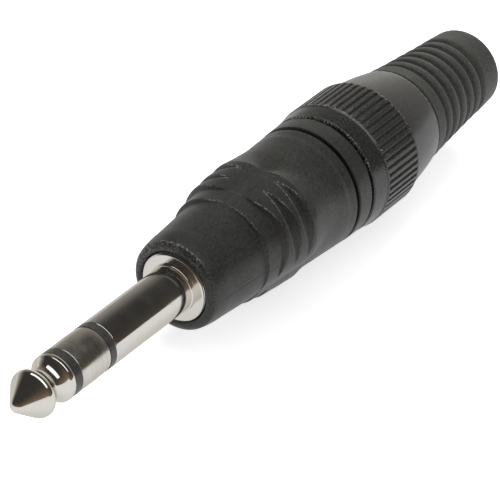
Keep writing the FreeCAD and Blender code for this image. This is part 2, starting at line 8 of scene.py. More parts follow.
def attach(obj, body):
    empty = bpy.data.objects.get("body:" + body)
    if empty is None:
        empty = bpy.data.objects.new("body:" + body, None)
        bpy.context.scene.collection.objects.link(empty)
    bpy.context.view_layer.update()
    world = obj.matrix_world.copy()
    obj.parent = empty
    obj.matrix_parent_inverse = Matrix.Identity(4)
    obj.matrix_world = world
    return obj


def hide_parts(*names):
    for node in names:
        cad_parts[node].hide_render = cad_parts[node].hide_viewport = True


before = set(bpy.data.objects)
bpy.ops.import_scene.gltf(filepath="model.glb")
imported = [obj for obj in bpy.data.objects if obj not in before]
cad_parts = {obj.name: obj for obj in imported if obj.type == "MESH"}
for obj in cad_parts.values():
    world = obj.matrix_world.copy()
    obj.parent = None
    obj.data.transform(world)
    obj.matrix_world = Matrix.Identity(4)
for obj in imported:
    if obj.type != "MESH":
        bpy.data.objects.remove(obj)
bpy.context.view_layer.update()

# Tip contact: nickel-plated brass, turned in one piece with its long rod, with a land, a neck, a
# rounded head and a cone with a blunt nose. The rod runs through the finger and ends behind its lug.
# Lengths are in millimetres. s counts back from the flange's front face, and r from the plug's axis.
MM = 0.001
RIM = 19.3                      # the flange's front face along X
AXIS = 9.05                     # the plug's axis above the floor
ROD = 1.1                       # the rod's radius
FIRST_BAND = -23.67, -22.33     # the ends of the first dark band


def skin(name, points, poles=None, wear_and_highlight=None):
    """A smooth closed mesh from points[i, j] = (x, y, z) in millimetres.

    i runs along the profile and j round the plug. Without poles the last row joins the first, and
    with poles, the two points where the profile meets the axis, a fan closes each end. Faces whose
    signed volume sum(a . (b x c + c x d)) is negative are turned round. The last argument, if given,
    is the share of pale flecks at each point, 0 to 1: wear, and in places a painted highlight.
    """
    rows, columns = points.shape[:2]
    here = np.arange(rows * columns).reshape(rows, columns)
    beside = np.roll(here, -1, axis=1)
    bands = rows if poles is None else rows - 1
    quads = np.stack([here, beside, np.roll(beside, -1, axis=0), np.roll(here, -1, axis=0)], axis=-1)
    quads = quads[:bands].reshape(-1, 4)
    verts = points.reshape(-1, 3)
    a, b, c, d = (verts[quads[:, k]] for k in range(4))
    outward = np.sum(a * (np.cross(b, c) + np.cross(c, d))) > 0
    faces = quads.tolist()
    if poles is not None:
        ends = np.full(columns, len(verts)), np.full(columns, len(verts) + 1)
        faces += np.stack([beside[0], here[0], ends[0]], axis=-1).tolist()
        faces += np.stack([here[-1], beside[-1], ends[1]], axis=-1).tolist()
        verts = np.concatenate([verts, poles])
    if not outward:
        faces = [face[::-1] for face in faces]
    mesh = bpy.data.meshes.new(name)
    mesh.from_pydata((verts * MM).tolist(), [], faces)
    mesh.polygons.foreach_set("use_smooth", np.ones(len(faces), dtype=bool))
    mesh.set_sharp_from_angle(angle=math.radians(50))
    if wear_and_highlight is not None:
        shares = np.broadcast_to(wear_and_highlight, (rows, columns)).ravel()
        mesh.attributes.new("wear_and_highlight", "FLOAT", "POINT").data.foreach_set("value", shares)
    obj = bpy.data.objects.new(name, mesh)
    bpy.context.scene.collection.objects.link(obj)
    return obj


def around(s, r, t):
    """Points (x, y, z) = (RIM - s, r cos t, AXIS + r sin t), with s behind the flange's face."""
    return np.stack([np.broadcast_to(RIM - s, r.shape), r * np.cos(t), AXIS + r * np.sin(t)], axis=-1)


def held(profile, closed=True, reach=0.04):
    """The profile with a point near each end of its long spans, which keeps them flat in the light.

    A closed profile has one more span, from its last point back to its first.
    """
    span_to = np.roll(profile, -1, axis=0) - profile
    length = np.linalg.norm(span_to, axis=1)
    step = span_to * (reach / np.maximum(length, reach))[:, None]
    points = np.stack([profile, profile + step, profile + span_to - step], axis=1)
    keep = np.stack([length > 0, length > 4 * reach, length > 4 * reach], axis=1)
    if not closed:
        keep[-1, 1:] = False
    return points[keep]


def turned(name, profile, count=192, poles=False):
    """A surface of revolution of (s, r) points. With poles it starts and ends on the axis."""
    t = np.linspace(0, 2 * math.pi, count, endpoint=False)
    if not poles:
        profile = held(profile)
        return skin(name, around(profile[:, 0:1], profile[:, 1:2] * np.ones(count), t))
    inner = held(profile[1:-1], closed=False)
    ends = around(profile[[0, -1], 0], profile[[0, -1], 1], np.zeros(2))
    return skin(name, around(inner[:, 0:1], inner[:, 1:2] * np.ones(count), t), ends)


def bow(p, q, radius, side, steps=12):
    """Points from p to q along a circle of that radius, bulging outwards (1) or inwards (-1).

    With m the middle of the chord, n its outward normal and h half its length, the centre is
    m - side n sqrt(radius^2 - h^2).
    """
    p, q = np.array(p, dtype=float), np.array(q, dtype=float)
    chord = q - p
    half = np.linalg.norm(chord) / 2
    normal = np.array([-chord[1], chord[0]]) / (2 * half)
    normal = normal if normal[1] >= 0 else -normal
    centre = (p + q) / 2 - side * normal * math.sqrt(radius ** 2 - half ** 2)
    start = math.atan2(*(p - centre)[::-1])
    turn = (math.atan2(*(q - centre)[::-1]) - start + math.pi) % (2 * math.pi) - math.pi
    t = start + turn * np.linspace(0, 1, steps + 1)
    return centre + radius * np.stack([np.cos(t), np.sin(t)], axis=-1)


def joined(*parts):
    """One profile from lists of points, without the doubles where they meet."""
    points = np.concatenate([np.atleast_2d(np.array(p, dtype=float)) for p in parts])
    keep = np.ones(len(points), dtype=bool)
    keep[1:] = np.linalg.norm(np.diff(points, axis=0), axis=1) > 1e-6
    return points[keep]


def dress(obj, material, body, slot, *nodes):
    """Gives a piece its material and its CAD body, and hides the CAD nodes that it stands for. slot is
    not used.
    """
    obj.data.materials.append(material)
    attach(obj, body)
    if nodes:
        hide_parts(*nodes)


def new_material(name):
    """An empty node material with its Principled shader and its Object coordinates."""
    material = bpy.data.materials.new(name)
    material.use_nodes = True
    tree = material.node_tree
    where = tree.nodes.new("ShaderNodeTexCoord").outputs["Object"]
    return material, tree, tree.nodes["Principled BSDF"], where


def scaled(tree, where, sx, sy, sz):
    """The coordinates stretched along each axis."""
    node = tree.nodes.new("ShaderNodeMapping")
    node.inputs["Scale"].default_value = (sx, sy, sz)
    tree.links.new(where, node.inputs["Vector"])
    return node.outputs["Vector"]


def noise(tree, vector, scale, detail=2.0, rough=0.5):
    """A noise value between 0 and 1."""
    node = tree.nodes.new("ShaderNodeTexNoise")
    node.inputs["Scale"].default_value = scale
    node.inputs["Detail"].default_value = detail
    node.inputs["Roughness"].default_value = rough
    tree.links.new(vector, node.inputs["Vector"])
    return node.outputs["Fac"]


def ranged(tree, value, low, high, to_low, to_high):
    """The value mapped from one range to another and held inside it."""
    node = tree.nodes.new("ShaderNodeMapRange")
    for socket, number in zip(node.inputs[1:5], (low, high, to_low, to_high)):
        socket.default_value = number
    tree.links.new(value, node.inputs["Value"])
    return node.outputs["Result"]


def maths(tree, kind, *items):
    """One arithmetic step on sockets or numbers."""
    node = tree.nodes.new("ShaderNodeMath")
    node.operation = kind
    for socket, item in zip(node.inputs, items):
        if isinstance(item, (int, float)):
            socket.default_value = item
        else:
            tree.links.new(item, socket)
    return node.outputs["Value"]


def blended(tree, factor, *colours):
    """The first colour where the factor is 0 and the second where it is 1; sockets or numbers."""
    node = tree.nodes.new("ShaderNodeMix")
    node.data_type = "RGBA"
    tree.links.new(factor, node.inputs["Factor"])
    for socket, colour in zip((node.inputs["A"], node.inputs["B"]), colours):
        if isinstance(colour, bpy.types.NodeSocket):
            tree.links.new(colour, socket)
        else:
            socket.default_value = (*colour, 1)
    return node.outputs["Result"]


def bumped(tree, shader, height, distance, strength=1.0):
    """Feeds a height to the shader's normal."""
    node = tree.nodes.new("ShaderNodeBump")
    node.inputs["Strength"].default_value = strength
    node.inputs["Distance"].default_value = distance
    tree.links.new(height, node.inputs["Height"])
    tree.links.new(node.outputs["Normal"], shader.inputs["Normal"])


LATHE_MARKS = 9000, 60, 60      # fine along X and long round the plug


def nickel(name, colour, roughness, marks_depth, streak):
    """Nickel plate over turned brass: marks round the axis, and a faint waviness of the plate.

    marks_depth is the marks' share of the relief, and streak is how much darker they are.
    """
    material, tree, shader, where = new_material(name)
    shader.inputs["Metallic"].default_value = 1.0
    shader.inputs["Specular Tint"].default_value = (0.80, 0.78, 0.74, 1)
    marks = noise(tree, scaled(tree, where, *LATHE_MARKS), 1.0, 3.0)
    waves = noise(tree, where, 420.0)
    dark = [(1 - streak) * c for c in colour]
    tone = blended(tree, ranged(tree, marks, 0.35, 0.65, 0.0, 1.0), dark, colour)
    tree.links.new(tone, shader.inputs["Base Color"])
    tree.links.new(ranged(tree, waves, 0.35, 0.65, roughness * 0.8, roughness * 1.25),
                   shader.inputs["Roughness"])
    bumped(tree, shader, maths(tree, "MULTIPLY_ADD", marks, marks_depth, waves), 0.000002, 0.5)
    return material


polished_nickel = nickel("polished_nickel", (0.81, 0.785, 0.74), 0.10, 0.1, 0.02)
tip_profile = joined(
    [(11.2, 0.0), (11.2, ROD)],
    bow((11.2, ROD), (10.5, 2.0), 1.2, 1),                          # the rivet that holds the lug
    [(10.5, ROD), (FIRST_BAND[0], ROD), (FIRST_BAND[0], 3.12)],     # the rod
    bow((-23.69, 3.14), (-24.33, 3.14), 1.6, 1, 6),                 # the land
    bow((-24.5, 3.025), (-27.5, 3.025), 1.9, -1, 40),               # the neck
    bow((-27.5, 3.025), (-28.5, 3.025), 0.95, 1, 20),               # the head
    bow((-31.25, 0.95), (-31.75, 0.0), 1.15, 1, 12),                # the nose, at the cone's end
)
dress(turned("tip_turning", tip_profile, 224, poles=True),
      polished_nickel, "plug", "nickel", "tip_contact")

# Insulating tubes: black moulded plastic, slid over the rod and over the ring's tube. Their heads
# show as the two dark bands of the finger, a little under the metal beside them.
RING_TUBE = 1.55, 2.0           # the bore and the outside of the ring's tube
SLEEVE_BORE = 2.5
SECOND_BAND = -16.76, -15.68    # the ends of the second dark band
HEAD, HEAD_EDGE = 3.16, 0.03    # the radius of both bands, and their broken edges
SPECKLE = 0.52                  # how far the black strays to either side of its tone
SCUFF_AND_HIGHLIGHT = 0.30, 0.30, 0.28        # the colour of a pale fleck, both wear and painted highlight
TOP_HIGHLIGHT_HEIGHTS = 0.009, 0.014    # between these heights, in metres above the floor, the flecks grow from faint to full: a painted highlight on the top


def black_finish(name, colour, roughness, grain, depth, gloss=0.5, wear_and_highlight=False):
    """A black surface. With its flag set it has pale flecks by the mesh's values of wear and painted
    highlight, stronger higher up as a painted highlight on the top.

    grain is how fine its relief is, and depth how deep, in metres.
    """
    material, tree, shader, where = new_material(name)
    shader.inputs["Specular IOR Level"].default_value = gloss
    fine = noise(tree, where, grain, 3.0, 0.6)
    speckle = ranged(tree, noise(tree, where, 3300.0, 4.0, 0.75), 0.36, 0.64, 0.0, 1.0)
    dark, pale = ([share * c for c in colour] for share in (1 - SPECKLE, 1 + SPECKLE))
    shade = blended(tree, speckle, dark, pale)
    if wear_and_highlight:
        attribute = tree.nodes.new("ShaderNodeAttribute")
        attribute.attribute_name = "wear_and_highlight"
        flecks = ranged(tree, noise(tree, where, 3600.0, 2.0), 0.47, 0.60, 0.0, 1.0)
        patches = ranged(tree, noise(tree, where, 400.0, 1.0), 0.40, 0.55, 0.3, 1.0)
        height = tree.nodes.new("ShaderNodeSeparateXYZ")
        tree.links.new(where, height.inputs["Vector"])
        # Painted highlight: the flecks are faint at the plug's middle height and full on its top.
        painted_top_highlight = ranged(tree, height.outputs["Z"], *TOP_HIGHLIGHT_HEIGHTS, 0.15, 1.0)
        share = maths(tree, "MULTIPLY", maths(tree, "MULTIPLY", flecks, patches),
                      maths(tree, "MULTIPLY", painted_top_highlight, attribute.outputs["Fac"]))
        shade = blended(tree, share, shade, SCUFF_AND_HIGHLIGHT)
    tree.links.new(shade, shader.inputs["Base Color"])
    tree.links.new(ranged(tree, noise(tree, where, 260.0), 0.3, 0.7, roughness * 0.92, roughness * 1.08),
                   shader.inputs["Roughness"])
    bumped(tree, shader, fine, depth)
    return material


def banded_tube(name, band, end, bore, outside):
    """A tube of r from bore to outside, back to end, with the band as its wider head in front."""
    front, back = band
    return turned(name, joined([
        (front, bore), (front, HEAD - HEAD_EDGE), (front + HEAD_EDGE, HEAD), (back - HEAD_EDGE, HEAD),
        (back, HEAD - HEAD_EDGE), (back, outside), (end, outside), (end, bore)]))


band_black = black_finish("band_black", (0.042, 0.041, 0.039), 0.34, 5200.0, 0.000005, gloss=0.8)
dress(banded_tube("tip_band", FIRST_BAND, 10.0, ROD, RING_TUBE[0]),
      band_black, "plug", "insulator", "tip_insulator")
dress(banded_tube("sleeve_band", SECOND_BAND, 8.5, RING_TUBE[1], SLEEVE_BORE),
      band_black, "plug", "insulator", "sleeve_insulator")

# Ring contact: nickel-plated brass, turned slightly barrel-shaped with broken edges and a brushed
# face, in one piece with the tube that carries it back through the finger to its own lug.
brushed_nickel = nickel("brushed_nickel", (0.79, 0.76, 0.71), 0.23, 1.5, 0.12)
ring_profile = joined(
    [(FIRST_BAND[1], RING_TUBE[0]), (FIRST_BAND[1], 3.03), (-22.29, 3.075)],
    bow((-22.22, 3.11), (-16.87, 3.11), 55.0, 1, 24),
    [(-16.80, 3.075), (SECOND_BAND[0], 3.03), (SECOND_BAND[0], RING_TUBE[1])],
    [(9.0, RING_TUBE[1]), (9.0, RING_TUBE[0])],
)
dress(turned("ring_turning", ring_profile), brushed_nickel, "plug", "nickel", "ring_contact")

# Sleeve contact: nickel-plated brass, the long barrel with a small collar at its root, and the
# flange with a double chamfer that seats in the shell's mouth. Its back end is crimped in the shell.
BARREL = 3.175                  # the finger's radius
SEAT, STEM = 1.2, 4.2           # the flange's back, and the radius of the stem behind it
CRIMP = 6.5                     # the back of the shell's bore, over which the stem is crimped
barrel_nickel = nickel("barrel_nickel", (0.80, 0.775, 0.73), 0.12, 0.5, 0.03)
sleeve_profile = joined(
    [(SECOND_BAND[1], SLEEVE_BORE), (SECOND_BAND[1], 3.055), (-15.64, 3.12), (-15.56, BARREL)],
    [(-0.41, BARREL), (-0.41, 3.21), (-0.37, 3.29), (-0.30, 3.345), (-0.24, 3.36), (0.0, 3.36)],
    [(0.0, 4.50), (0.03, 4.55), (0.12, 4.67), (0.24, 4.67), (0.28, 4.70), (0.36, 4.79)],
    [(SEAT, 4.79), (SEAT, STEM), (CRIMP, STEM), (CRIMP, 3.4), (7.0, 3.4), (7.0, 3.9)],
    [(7.5, 3.78), (7.5, SLEEVE_BORE)],
)
dress(turned("sleeve_turning", sleeve_profile, 256), barrel_nickel, "plug", "nickel", "sleeve_contact")

# Solder lugs and their washers: tinned brass strip and black fibre, hidden inside the shell. They
# keep their CAD shapes.
tinned_brass = nickel("tinned_brass", (0.72, 0.70, 0.64), 0.35, 0.3, 0.05)
washer_black = black_finish("washer_black", (0.02, 0.02, 0.02), 0.6, 4000.0, 0.00001)


def recolour(names, material):
    """Gives CAD nodes a new finish and leaves their shapes alone."""
    for name in names:
        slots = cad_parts[name].data.materials
        slots.clear()
        slots.append(material)


recolour(("earth_lug", "ring_lug", "tip_lug"), tinned_brass)
recolour(("ring_lug_washer", "tip_lug_washer"), washer_black)

# Shell: the black moulded grip, a cone with three pads. Each pad is a low step and a high lobe,
# round about their own axes off the plug's, cut into saw teeth by rings about the plug's axis.
LOBES = np.radians([270.0, 30.0, 150.0])    # the middles of the three pads
SPINE = np.radians([90.0])                  # the bare, slightly raised place between two pads
SPINE_HALF, SPINE_SIDE = np.radians([9.5, 2.0])     # its half width and the width of its sides
SEAMS = np.radians([0.0, 180.0])            # the mould's parting lines
SEAM_DEPTH, SEAM_HALF = 0.06, 0.15          # their depth and half width
STEP = 10.1                                 # where the pads' low step rises
TEETH = 13.1, 15.65, 18.2                   # where the faces of the pads' teeth rise
FEET = 7.75, 8.0, 8.2                       # the radii at their feet
PAD_END = 27.5                              # where the pads have run out into the cone
STEP_SHIFT, LOBE_SHIFT = 0.95, 2.1          # how far the axes of step and lobe are off the plug's
CROWN = 8.78                                # the flats on the pads' crowns
SHOULDER, CAVITY = 7.7, 5.7                 # the radii of the shell's back shoulder and its cavity
TAIL_START, TAIL_END, TAIL = 29.7, 43.0, 7.0    # the ends and the radius of the tail
PITCH, THREAD = 1.25, 0.34                  # the tail's thread, its pitch and depth
shell_black = black_finish("shell_black", (0.029, 0.0295, 0.027), 0.37, 4000.0, 0.000030, wear_and_highlight=True)


def greater(a, b, soft):
    """The larger of two heights with a fillet: (a + b + sqrt((a - b)^2 + soft^2)) / 2."""
    return (a + b + np.sqrt((a - b) ** 2 + soft ** 2)) / 2


def lesser(a, b, soft):
    """The smaller of two heights with a rounded edge: (a + b - sqrt((a - b)^2 + soft^2)) / 2."""
    return (a + b - np.sqrt((a - b) ** 2 + soft ** 2)) / 2


def angle_off(t, middles):
    """The angle from t to the nearest of the middles."""
    return np.abs((t[None, :] - middles[:, None] + math.pi) % (2 * math.pi) - math.pi).min(axis=0)


def off_centre(radius, shift, away):
    """A circle's distance from the plug's axis: r = e cos d + sqrt((radius - e)^2 - (e sin d)^2)."""
    inside = (radius[:, None] - shift) ** 2 - (shift * np.sin(away)) ** 2
    return shift * np.cos(away) + np.sqrt(np.maximum(inside, 0.01))


def shell_radius(s, t):
    """The shell's radius at s behind the rim and at angle t, from +Y towards +Z.

    r = greater(cone(s), step(s, t), lesser(lobe(s, t), rings(s), flat(t))) + place(s, t) - seam(s, t)
    The second result is the share of pale flecks at each point, wear and a painted glint: most along the
    teeth's edges, towards their ends.
    """
    front = bow((3.75, 6.53), (0.65, 6.15), 14.0, 1)[::-1]
    cone = np.interp(s, np.append(front[:, 0], 29.3), np.append(front[:, 1], 8.5))[:, None]
    away = angle_off(t, LOBES)
    step_r = np.interp(s, [STEP, STEP + 0.35, STEP + 0.43, TEETH[0]], [7.05, 7.55, 7.58, 7.75])
    step = np.where(((s >= STEP) & (s <= TEETH[0] + 0.3))[:, None],
                    off_centre(step_r, STEP_SHIFT, away), 0.0)
    crown = bow((TEETH[0], 8.36), (19.4, 8.92), 150.0, 1)
    lobe_r = np.interp(s, np.append(crown[:, 0], PAD_END), np.append(crown[:, 1], 7.8))
    rings = [(TEETH[0] - 0.01, 7.0)]
    for foot, r, after, r_after in zip(TEETH, FEET, TEETH[1:], FEET[1:]):
        rings += [(foot, r), *bow((foot + 0.8, r + 0.85), (after - 0.25, r_after - 0.02), 2.6, 1)]
    rings += [(TEETH[2], FEET[2]), (TEETH[2] + 0.8, 8.84), (24.4, 8.84), (29.3, 9.9)]
    rings = np.array(rings)
    ring_r = np.interp(s, rings[:, 0], rings[:, 1])
    flat = CROWN / np.maximum(np.cos(away), 0.3)
    lobe = off_centre(lobe_r, LOBE_SHIFT, away)
    pad = lesser(lesser(lobe, ring_r[:, None], 0.07), flat, 0.03)
    pad = np.where(((s >= TEETH[0]) & (s < PAD_END))[:, None], pad, 0.0)
    raised = np.maximum(step, pad)
    fillet = np.interp(s, [19.5, 23.0], [0.05, 0.45])[:, None]
    radius = greater(cone, raised, np.where(raised > 1.0, fillet, 0.0))
    ledge = np.interp(s, [10.55, 10.7, 14.0, 20.0], [0.0, 0.07, 0.05, 0.0])[:, None]
    place = ledge * np.clip((SPINE_HALF - angle_off(t, SPINE)) / SPINE_SIDE, 0, 1)
    off_seam = angle_off(t, SEAMS) * radius
    fade = np.interp(s, [1.5, 2.2, 12.0, 13.0], [0.0, 1.0, 1.0, 0.0])[:, None]
    ends = np.interp(away, np.radians([10.0, 26.0, 50.0, 56.0]), [0.0, 1.0, 1.0, 0.0])
    on_tooth = np.exp(-((lobe - ring_r[:, None] - 0.02) / 0.07) ** 2) * (pad > cone + 0.05)
    on_step = np.exp(-((s - STEP - 0.38) / 0.09) ** 2)[:, None] * (step > cone + 0.03)
    on_place = np.exp(-((s - 10.68) / 0.09) ** 2)[:, None] * (place > 0.02)
    # Pale flecks along the edges of the teeth, the step and the raised place: wear and a painted glint.
    wear_and_highlight = ends * np.maximum(on_tooth * (s < 20.5)[:, None], on_step)
    seam = SEAM_DEPTH * fade * np.clip(1 - off_seam / SEAM_HALF, 0, 1)
    return radius + place - seam, np.maximum(wear_and_highlight, 0.8 * on_place)


def shell_grip():
    """The shell as one closed grid: the mouth, the front's roll, shell_radius over it, the cavity.

    The roll's pale flecks are a painted highlight, strongest on its left, and the flecks round the edge
    where it meets the cone are wear and a painted glint. The rows lie closer over the step and the
    teeth.
    """
    s_out = np.concatenate([
        np.linspace(0.65, 9.9, 34)[:-1], np.linspace(9.9, 11.0, 23)[:-1],
        np.linspace(11.0, 13.0, 15)[:-1], np.linspace(13.0, 20.4, 124)[:-1],
        np.linspace(20.4, 27.4, 17)[:-1], np.linspace(27.4, 29.08, 7), [29.13]])
    t = np.linspace(0, 2 * math.pi, 416, endpoint=False)
    front = joined([(SEAT, STEM), (SEAT, 4.88), (0.45, 4.88), (0.28, 4.94), (0.18, 5.06), (0.14, 5.22)],
                   bow((0.13, 5.35), (0.65, 6.15), 1.3, 1, 10))[:-1]
    rear = joined([(29.19, 8.45), (29.24, 8.34), (29.24, SHOULDER), (TAIL_START, SHOULDER),
                   (TAIL_START, CAVITY), (CRIMP, CAVITY), (CRIMP, STEM)])
    s = np.concatenate([front[:, 0], s_out, rear[:, 0]])[:, None]
    outside, wear_and_highlight = shell_radius(s_out, t)
    r = np.concatenate([front[:, 1:2] * np.ones(len(t)), outside, rear[:, 1:2] * np.ones(len(t))])
    # Painted highlight: pale flecks over the whole roll, strongest on its left.
    roll = np.tile(0.30 + 0.50 * np.clip(-np.cos(t), 0, 1), (len(front), 1))
    wear_and_highlight = np.concatenate([roll, wear_and_highlight, np.zeros((len(rear), len(t)))])
    # Wear and a painted glint: pale flecks round the edge between the roll and the cone.
    wear_and_highlight = np.maximum(wear_and_highlight, np.interp(s, [0.45, 0.6, 0.72, 0.9], [0.0, 1.0, 1.0, 0.0]))
    return skin("shell_grip", around(s, r, t), None, wear_and_highlight)


dress(shell_grip(), shell_black, "plug", "shell", "shell")


def shell_tail():
    """The shell's tail under the nut, with a rounded right-hand thread faded out at both ends.

    r = TAIL - THREAD (1 - cos(2 pi (s / PITCH + t / 2 pi))) / 2, and a chamfer at the end.
    """
    chamfer = 0.4
    s = np.linspace(TAIL_START, TAIL_END - chamfer, 150)
    t = np.linspace(0, 2 * math.pi, 96, endpoint=False)
    wave = (1 - np.cos(2 * math.pi * (s[:, None] / PITCH + t[None, :] / (2 * math.pi)))) / 2
    fade = np.clip((s - 33.2) / 0.8, 0, 1) * np.clip((TAIL_END - chamfer - s) / 0.5, 0, 1)
    inside = np.repeat([[TAIL - chamfer], [CAVITY], [CAVITY]], len(t), 1)
    r = np.concatenate([TAIL - THREAD * wave * fade[:, None], inside])
    s = np.concatenate([s, [TAIL_END, TAIL_END, TAIL_START]])[:, None]
    return skin("shell_tail", around(s, r, t))


dress(shell_tail(), shell_black, "plug", "shell")

# Marker ring: a plain black moulded band that clips on between the shell and the nut, with a thin
# dark gap on each side.
TAIL_BORE = 7.05                # the bore of the marker ring and of the nut, over the tail
marker_black = black_finish("marker_black", (0.030, 0.031, 0.028), 0.36, 4200.0, 0.000008)
marker_profile = joined([
    (29.84, TAIL_BORE), (29.84, 8.36), (29.89, 8.49), (29.98, 8.56), (32.40, 8.61), (32.48, 8.58),
    (32.53, 8.48), (32.53, TAIL_BORE)])
dress(turned("marker_band", marker_profile, 256), marker_black, "plug", "marker", "marker_ring")

# Cable chuck: the black moulded collet inside the nut, which the nut presses onto the cable. It is
# hidden and keeps its CAD shape.
chuck_black = black_finish("chuck_black", (0.02, 0.02, 0.021), 0.45, 4200.0, 0.00001)
recolour(("cable_chuck",), chuck_black)

# Back nut: metal with a smooth black coating, turned with a front band, a lip, 56 grip ribs, a second
# lip and a taper. The coating is worn pale along its edges, and the pale flecks are painted stronger on
# top as a highlight. It screws onto the shell's tail.
RIBS, ROOT, RIB = 56, 8.79, 0.26    # the ribs' number, the radius between them and their height
LIP = 9.0                           # the radius at the foot of each lip beside the ribs
BOOT_SEAT = 6.2                     # the pocket for the boot
# The pocket's wall with the groove that the boot snaps into, from its bottom to its mouth.
SNAP = [(47.31, BOOT_SEAT), (48.7, BOOT_SEAT), (48.7, 6.5), (49.6, 6.5), (49.9, BOOT_SEAT)]
nut_black = black_finish("nut_black", (0.026, 0.0265, 0.025), 0.26, 4200.0, 0.000006,
                         gloss=0.8, wear_and_highlight=True)


def knurled_nut():
    """The nut as one closed grid.

    Between the lips r = ROOT + RIB crest(u), where u is the angle in rib pitches from the nearest
    rib's middle: crest is 1 for u < 0.22 and 0 for u > 0.47, eased in between.
    """
    t = np.linspace(0, 2 * math.pi, RIBS * 16, endpoint=False)
    u = np.abs((t * RIBS / (2 * math.pi)) % 1.0 - 0.5)
    ramp = np.clip((0.47 - u) / 0.25, 0, 1)
    crest = ramp * ramp * (3 - 2 * ramp)
    before = held(joined([
        (32.61, TAIL_BORE), (32.61, SHOULDER), (33.16, SHOULDER), (33.16, 8.42), (33.21, 8.57),
        (33.32, 8.67), (34.4, 8.775), (35.70, 8.895), (35.78, 8.91), (36.03, 9.03), (36.09, 9.05),
        (36.14, 9.045), (36.18, LIP)]), closed=False)
    knurl_s = np.array([36.21, 36.27, 36.45, 38.0, 39.7, 41.4, 42.9, 43.05, 43.11])
    knurl_rise = np.array([0.25, 0.02, 0.0, 0.0, 0.0, 0.0, 0.0, 0.02, 0.25])
    after = held(joined(
        [(43.14, LIP), (43.18, 9.045), (43.23, 9.05), (43.28, 9.02), (43.52, 8.70)],
        bow((43.56, 8.67), (50.96, 7.47), 60.0, 1, 13),
        [(51.01, 7.45), (51.07, 7.36), (51.07, BOOT_SEAT)], SNAP[::-1],
        [(47.31, 4.6), (46.01, 4.6), (46.01, TAIL_BORE)]), closed=False)
    ribs = ROOT + RIB * crest[None, :]
    knurl = ribs + (LIP - ribs) * knurl_rise[:, None]
    r = np.concatenate([before[:, 1:2] * np.ones(len(t)), knurl, after[:, 1:2] * np.ones(len(t))])
    s = np.concatenate([before[:, 0], knurl_s, after[:, 0]])[:, None]
    front_edge = np.interp(s, [33.14, 33.16, 33.26, 33.36], [0.0, 1.0, 0.9, 0.0]) * (r > 8.2)
    lips = np.interp(s, [35.9, 36.03, 36.3, 36.5, 42.9, 43.1, 43.3, 43.5],
                     [0.0, 0.8, 0.8, 0.0, 0.0, 0.7, 0.7, 0.0]) * (r > 8.9)
    back_edge = np.interp(s, [50.7, 50.9, 51.05, 51.07], [0.0, 0.42, 0.42, 0.0]) * (r > 7.2)
    wear_and_highlight = np.maximum(np.maximum(front_edge, lips), back_edge)
    return skin("knurled_nut", around(s, r, t), None, wear_and_highlight)


dress(knurled_nut(), nut_black, "cap", "nut", "back_nut")

# Boot: soft black rubber, snapped into the nut, with a plain collar, six narrow grooves between
# rounded ribs, a plain rounded end and the bore for the cable.
BOOT_END, CABLE_BORE = 70.35, 3.5
GROOVES = 54.0 + 2.16 * np.arange(6)    # the middles of the grooves
GROOVE = 0.52                           # their depth
boot_rubber = black_finish("boot_rubber", (0.046, 0.049, 0.043), 0.50, 3600.0, 0.000012)


def over_boot(s, sunk=0.0):
    """The point at s on the boot's taper, r = 5.72 + 1.6 (BOOT_END - s) / 19.09, less sunk."""
    return s, 5.72 + 1.6 * (BOOT_END - s) / 19.09 - sunk


def boot_profile():
    """The collar's step, the ribs as arcs between the shoulders of the grooves, and the round end."""
    first, last = GROOVES[0], GROOVES[-1]
    parts = [
        [(SNAP[0][0], CABLE_BORE), *SNAP],
        [(51.38, BOOT_SEAT), (51.38, 7.02), (51.43, 7.17), (51.56, 7.28)],
        [over_boot(52.6), over_boot(53.3), over_boot(53.55, 0.04), over_boot(53.85, 0.34)],
        [over_boot(first, GROOVE)],
    ]
    for a, b in zip(GROOVES[:-1], GROOVES[1:]):
        parts.append([(a + 0.08, over_boot(a, GROOVE)[1])])
        parts.append(bow(over_boot(a + 0.46, 0.14), over_boot(b - 0.46, 0.14), 2.0, 1, 12))
        parts.append([(b - 0.08, over_boot(b, GROOVE)[1])])
    parts.append([(last + 0.15, over_boot(last, 0.36)[1]), (last + 0.5, over_boot(last, 0.12)[1])])
    parts.append([over_boot(last + 0.9)])
    parts.append(bow(over_boot(69.05), (BOOT_END, 4.42), 1.3, 1, 12))
    parts.append([(BOOT_END, 3.95), (70.28, 3.72), (69.95, CABLE_BORE)])
    return joined(*parts)


dress(turned("ribbed_boot", boot_profile(), 256), boot_rubber, "cap", "boot", "boot")

# Floor: a plain white table. It keeps the plug's shadow and is white to the camera, also far away,
# where it glows more because the lamps fade. In the metal it is darker, and most so on the left.
HALF = 6.0                      # half the table's side, in metres
corners = [(-HALF, -HALF, 0), (HALF, -HALF, 0), (HALF, HALF, 0), (-HALF, HALF, 0)]
floor_mesh = bpy.data.meshes.new("floor")
floor_mesh.from_pydata(corners, [], [(0, 1, 2, 3)])
floor = bpy.data.objects.new("floor", floor_mesh)
bpy.context.scene.collection.objects.link(floor)
floor_white, tree, shader, where = new_material("floor_white")
shader.inputs["Roughness"].default_value = 0.9
shader.inputs["Specular IOR Level"].default_value = 0.0
shader.inputs["Emission Color"].default_value = (1, 1, 1, 1)
path = tree.nodes.new("ShaderNodeLightPath")
camera_ray, glossy_ray = path.outputs["Is Camera Ray"], path.outputs["Is Glossy Ray"]
split = tree.nodes.new("ShaderNodeSeparateXYZ")
tree.links.new(where, split.inputs["Vector"])
side = ranged(tree, split.outputs["Y"], -0.06, 0.0, 0.66, 1.0)
glow = maths(tree, "MULTIPLY", maths(tree, "MULTIPLY", glossy_ray, side), 0.64)
away = maths(tree, "MAXIMUM", *(maths(tree, "ABSOLUTE", split.outputs[axis]) for axis in "XY"))
seen = maths(tree, "MULTIPLY", camera_ray, ranged(tree, away, 0.2, 0.8, 0.68, 0.88))
